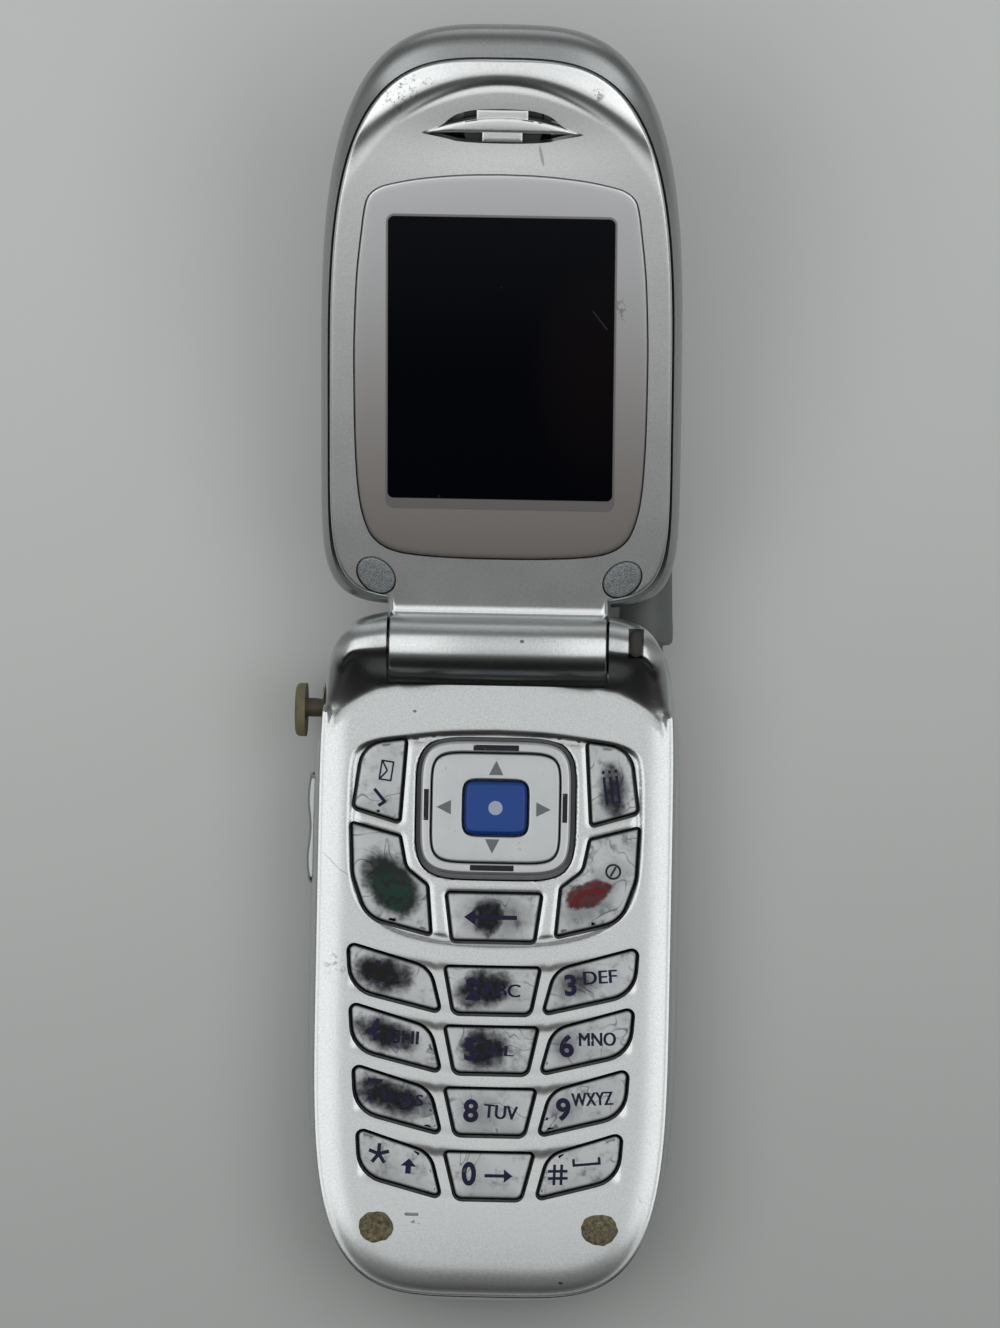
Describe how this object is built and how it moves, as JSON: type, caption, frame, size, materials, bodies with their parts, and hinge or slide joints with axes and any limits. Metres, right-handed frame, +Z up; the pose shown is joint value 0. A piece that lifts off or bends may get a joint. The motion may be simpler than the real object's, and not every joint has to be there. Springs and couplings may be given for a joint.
{
  "type": "flip phone",
  "caption": "Silver clamshell phone lying open on its back, with a keypad, four-way ring, inner and outer displays, side rocker, jack cover and retractable antenna.",
  "frame": {"origin": "on the flat rest face, straight below the hinge axis, in the middle of the phone's width", "axes": "+X to the right along the hinge axis, +Y from the base towards the open lid, +Z up out of the keypad face"},
  "size_m": [0.0494, 0.1605, 0.0406],
  "materials": {
    "case_silver": "silver metallic paint on moulded plastic, scuffed",
    "window_border": "printed grey border behind clear plastic",
    "clear_window": "clear acrylic, lightly scratched",
    "dark_glass": "dark display behind clear plastic",
    "key_silver": "silver painted keys with printed legends, worn",
    "key_blue": "blue key with a pale dot",
    "screw_cap": "grey satin plastic caps",
    "olive_rubber": "aged olive rubber",
    "bumper_residue": "crumbled rubber",
    "antenna_grey": "grey satin plastic",
    "black_plastic": "black moulded plastic",
    "silicone_mat": "silicone rubber",
    "circuit_board": "green solder mask",
    "steel": "nickel-plated steel",
    "brass": "sintered heavy metal",
    "flex_film": "amber polyimide film"
  },
  "bodies": {
    "base": {"base_front_cover": "case_silver", "base_rear_cover": "case_silver", "keypad_mat": "silicone_mat", "main_board": "circuit_board", "shield_cans": "steel", "battery": "case_silver", "battery_contacts": "black_plastic", "antenna_stub": "antenna_grey", "headset_jack": "black_plastic", "charge_connector": "steel", "microphone": "steel", "ringer_speaker": "black_plastic", "base_screws": "steel", "base_bumpers": "bumper_residue", "hinge_shaft": "steel", "hinge_bush": "black_plastic"},
    "lid": {"lid_outer_cover": "case_silver", "lid_inner_cover": "case_silver", "lid_window_panel": "window_border", "main_window": "clear_window", "main_display": "dark_glass", "display_frame": "steel", "outer_window": "dark_glass", "outer_display": "dark_glass", "lid_board": "circuit_board", "earpiece_grille": "case_silver", "earpiece_receiver": "black_plastic", "vibration_motor": "steel", "lid_magnet": "steel", "lid_screws": "steel", "lid_screw_caps": "screw_cap", "hinge_cartridge": "steel", "hinge_spring": "steel", "flex_cable": "flex_film"},
    "vibration_weight": {"vibration_weight": "brass"},
    "antenna_whip": {"antenna_whip": "black_plastic"},
    "battery_latch": {"battery_latch": "case_silver"},
    "jack_cover_strap": {"jack_cover_strap": "olive_rubber"},
    "jack_cover": {"jack_cover": "olive_rubber"},
    "volume_rocker": {"volume_rocker": "case_silver"},
    "nav_ring": {"nav_ring": "key_silver"},
    "nav_plate": {"nav_plate": "key_silver"},
    "key_select": {"key_select": "key_blue"},
    "key_ok": {"key_ok": "key_silver"},
    "key_menu": {"key_menu": "key_silver"},
    "key_talk": {"key_talk": "key_silver"},
    "key_end": {"key_end": "key_silver"},
    "key_back": {"key_back": "key_silver"},
    "key_1": {"key_1": "key_silver"},
    "key_2": {"key_2": "key_silver"},
    "key_3": {"key_3": "key_silver"},
    "key_4": {"key_4": "key_silver"},
    "key_5": {"key_5": "key_silver"},
    "key_6": {"key_6": "key_silver"},
    "key_7": {"key_7": "key_silver"},
    "key_8": {"key_8": "key_silver"},
    "key_9": {"key_9": "key_silver"},
    "key_star": {"key_star": "key_silver"},
    "key_0": {"key_0": "key_silver"},
    "key_hash": {"key_hash": "key_silver"}
  },
  "joints": [
    {"name": "lid_hinge", "type": "hinge", "parent": "base", "child": "lid", "pos_m": [0, 0, 0.0146], "axis": [1, 0, 0], "range_deg": [0, 160]},
    {"name": "vibration_spin", "type": "hinge", "parent": "lid", "child": "vibration_weight", "pos_m": [0.006, 0.06474, 0.0338], "axis": [1, 0, 0], "continuous": true},
    {"name": "whip_slide", "type": "slide", "parent": "base", "child": "antenna_whip", "axis": [0, 1, 0], "range_m": [0, 0.06]},
    {"name": "latch_slide", "type": "slide", "parent": "base", "child": "battery_latch", "axis": [0, 1, 0], "range_m": [0, 0.0012], "stiffness_N_per_m": 900, "springref_m": -0.0005},
    {"name": "jack_strap_slide", "type": "slide", "parent": "base", "child": "jack_cover_strap", "axis": [1, 0, 0], "range_m": [0, 0.0021]},
    {"name": "jack_cover_turn", "type": "hinge", "parent": "jack_cover_strap", "child": "jack_cover", "pos_m": [-0.0245, -0.0083, 0.0112], "axis": [-1, 0, 0], "range_deg": [-135, 0]},
    {"name": "volume_rock", "type": "hinge", "parent": "base", "child": "volume_rocker", "pos_m": [-0.0216, -0.0236, 0.0105], "axis": [0, 0, 1], "range_deg": [-2.5, 2.5], "stiffness_Nm_per_rad": 0.35},
    {"name": "ring_rock", "type": "hinge", "parent": "base", "child": "nav_ring", "pos_m": [0, -0.0206, 0.0124], "axis": [1, 0, 0], "range_deg": [-1.5, 1.5], "stiffness_Nm_per_rad": 0.5},
    {"name": "plate_rock", "type": "hinge", "parent": "nav_ring", "child": "nav_plate", "pos_m": [0, -0.0206, 0.0124], "axis": [0, 1, 0], "range_deg": [-1.5, 1.5], "stiffness_Nm_per_rad": 0.5},
    {"name": "select_press", "type": "slide", "parent": "base", "child": "key_select", "axis": [0, 0, 1], "range_m": [-0.0003, 0], "stiffness_N_per_m": 900, "springref_m": 0.0003},
    {"name": "ok_press", "type": "slide", "parent": "base", "child": "key_ok", "axis": [0, 0, 1], "range_m": [-0.0003, 0], "stiffness_N_per_m": 900, "springref_m": 0.0003},
    {"name": "menu_press", "type": "slide", "parent": "base", "child": "key_menu", "axis": [0, 0, 1], "range_m": [-0.0003, 0], "stiffness_N_per_m": 900, "springref_m": 0.0003},
    {"name": "talk_press", "type": "slide", "parent": "base", "child": "key_talk", "axis": [0, 0, 1], "range_m": [-0.0003, 0], "stiffness_N_per_m": 900, "springref_m": 0.0003},
    {"name": "end_press", "type": "slide", "parent": "base", "child": "key_end", "axis": [0, 0, 1], "range_m": [-0.0003, 0], "stiffness_N_per_m": 900, "springref_m": 0.0003},
    {"name": "back_press", "type": "slide", "parent": "base", "child": "key_back", "axis": [0, 0, 1], "range_m": [-0.0003, 0], "stiffness_N_per_m": 900, "springref_m": 0.0003},
    {"name": "1_press", "type": "slide", "parent": "base", "child": "key_1", "axis": [0, 0, 1], "range_m": [-0.0003, 0], "stiffness_N_per_m": 900, "springref_m": 0.0003},
    {"name": "2_press", "type": "slide", "parent": "base", "child": "key_2", "axis": [0, 0, 1], "range_m": [-0.0003, 0], "stiffness_N_per_m": 900, "springref_m": 0.0003},
    {"name": "3_press", "type": "slide", "parent": "base", "child": "key_3", "axis": [0, 0, 1], "range_m": [-0.0003, 0], "stiffness_N_per_m": 900, "springref_m": 0.0003},
    {"name": "4_press", "type": "slide", "parent": "base", "child": "key_4", "axis": [0, 0, 1], "range_m": [-0.0003, 0], "stiffness_N_per_m": 900, "springref_m": 0.0003},
    {"name": "5_press", "type": "slide", "parent": "base", "child": "key_5", "axis": [0, 0, 1], "range_m": [-0.0003, 0], "stiffness_N_per_m": 900, "springref_m": 0.0003},
    {"name": "6_press", "type": "slide", "parent": "base", "child": "key_6", "axis": [0, 0, 1], "range_m": [-0.0003, 0], "stiffness_N_per_m": 900, "springref_m": 0.0003},
    {"name": "7_press", "type": "slide", "parent": "base", "child": "key_7", "axis": [0, 0, 1], "range_m": [-0.0003, 0], "stiffness_N_per_m": 900, "springref_m": 0.0003},
    {"name": "8_press", "type": "slide", "parent": "base", "child": "key_8", "axis": [0, 0, 1], "range_m": [-0.0003, 0], "stiffness_N_per_m": 900, "springref_m": 0.0003},
    {"name": "9_press", "type": "slide", "parent": "base", "child": "key_9", "axis": [0, 0, 1], "range_m": [-0.0003, 0], "stiffness_N_per_m": 900, "springref_m": 0.0003},
    {"name": "star_press", "type": "slide", "parent": "base", "child": "key_star", "axis": [0, 0, 1], "range_m": [-0.0003, 0], "stiffness_N_per_m": 900, "springref_m": 0.0003},
    {"name": "0_press", "type": "slide", "parent": "base", "child": "key_0", "axis": [0, 0, 1], "range_m": [-0.0003, 0], "stiffness_N_per_m": 900, "springref_m": 0.0003},
    {"name": "hash_press", "type": "slide", "parent": "base", "child": "key_hash", "axis": [0, 0, 1], "range_m": [-0.0003, 0], "stiffness_N_per_m": 900, "springref_m": 0.0003}
  ]
}
